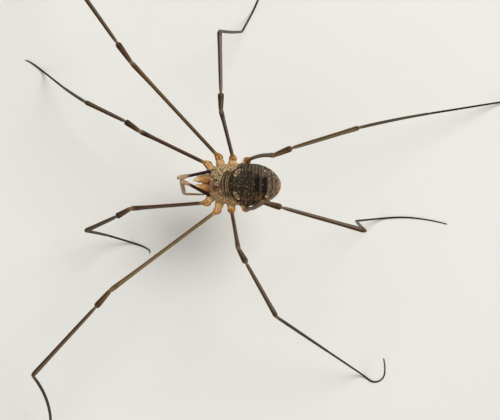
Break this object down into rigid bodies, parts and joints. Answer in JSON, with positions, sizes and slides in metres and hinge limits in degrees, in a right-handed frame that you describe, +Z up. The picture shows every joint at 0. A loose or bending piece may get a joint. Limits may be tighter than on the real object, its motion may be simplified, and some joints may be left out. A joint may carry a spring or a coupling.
{
  "type": "harvestman",
  "caption": "Still life-size model of a harvestman standing on long jointed legs, with an oval body, eye turret, chelicerae and palps.",
  "frame": {"origin": "middle of the leg span, on the floor that the tarsi stand on", "axes": "+Z up, head towards -Y, the animal's left side at +X"},
  "size_m": [0.0729, 0.0536, 0.0205],
  "materials": {
    "prosoma_cuticle": "matt, mottled beige and grey-brown",
    "opisthosoma_cuticle": "matt, dark saddle on grey-brown, with pale granules",
    "eye": "glossy black",
    "chelicera": "satin orange-tan cuticle",
    "leg_cuticle": "satin dark brown with pale lines",
    "dark_limb": "satin black-brown",
    "pale_limb": "satin tan"
  },
  "bodies": {
    "root": {"prosoma": "prosoma_cuticle", "opisthosoma": "opisthosoma_cuticle", "ocularium": "prosoma_cuticle", "eye_left": "eye", "eye_right": "eye", "chelicera_left_base": "chelicera", "chelicera_left_hand": "chelicera", "chelicera_right_base": "chelicera", "chelicera_right_hand": "chelicera", "pedipalp_left_femur": "dark_limb", "pedipalp_left_patella": "pale_limb", "pedipalp_left_tibia": "pale_limb", "pedipalp_left_tarsus": "pale_limb", "pedipalp_right_femur": "dark_limb", "pedipalp_right_patella": "pale_limb", "pedipalp_right_tibia": "pale_limb", "pedipalp_right_tarsus": "pale_limb", "leg_1_left_femur": "leg_cuticle", "leg_1_left_patella": "leg_cuticle", "leg_1_left_tibia": "leg_cuticle", "leg_1_left_metatarsus": "dark_limb", "leg_1_left_tarsus": "dark_limb", "leg_1_right_femur": "leg_cuticle", "leg_1_right_patella": "leg_cuticle", "leg_1_right_tibia": "leg_cuticle", "leg_1_right_metatarsus": "dark_limb", "leg_1_right_tarsus": "dark_limb", "leg_2_left_femur": "leg_cuticle", "leg_2_left_patella": "leg_cuticle", "leg_2_left_tibia": "leg_cuticle", "leg_2_left_metatarsus": "dark_limb", "leg_2_left_tarsus": "dark_limb", "leg_2_right_femur": "leg_cuticle", "leg_2_right_patella": "leg_cuticle", "leg_2_right_tibia": "leg_cuticle", "leg_2_right_metatarsus": "dark_limb", "leg_2_right_tarsus": "dark_limb", "leg_3_left_femur": "leg_cuticle", "leg_3_left_patella": "leg_cuticle", "leg_3_left_tibia": "leg_cuticle", "leg_3_left_metatarsus": "dark_limb", "leg_3_left_tarsus": "dark_limb", "leg_3_right_femur": "leg_cuticle", "leg_3_right_patella": "leg_cuticle", "leg_3_right_tibia": "leg_cuticle", "leg_3_right_metatarsus": "dark_limb", "leg_3_right_tarsus": "dark_limb", "leg_4_left_femur": "leg_cuticle", "leg_4_left_patella": "leg_cuticle", "leg_4_left_tibia": "leg_cuticle", "leg_4_left_metatarsus": "dark_limb", "leg_4_left_tarsus": "dark_limb", "leg_4_right_femur": "leg_cuticle", "leg_4_right_patella": "leg_cuticle", "leg_4_right_tibia": "leg_cuticle", "leg_4_right_metatarsus": "dark_limb", "leg_4_right_tarsus": "dark_limb"}
  },
  "joints": []
}
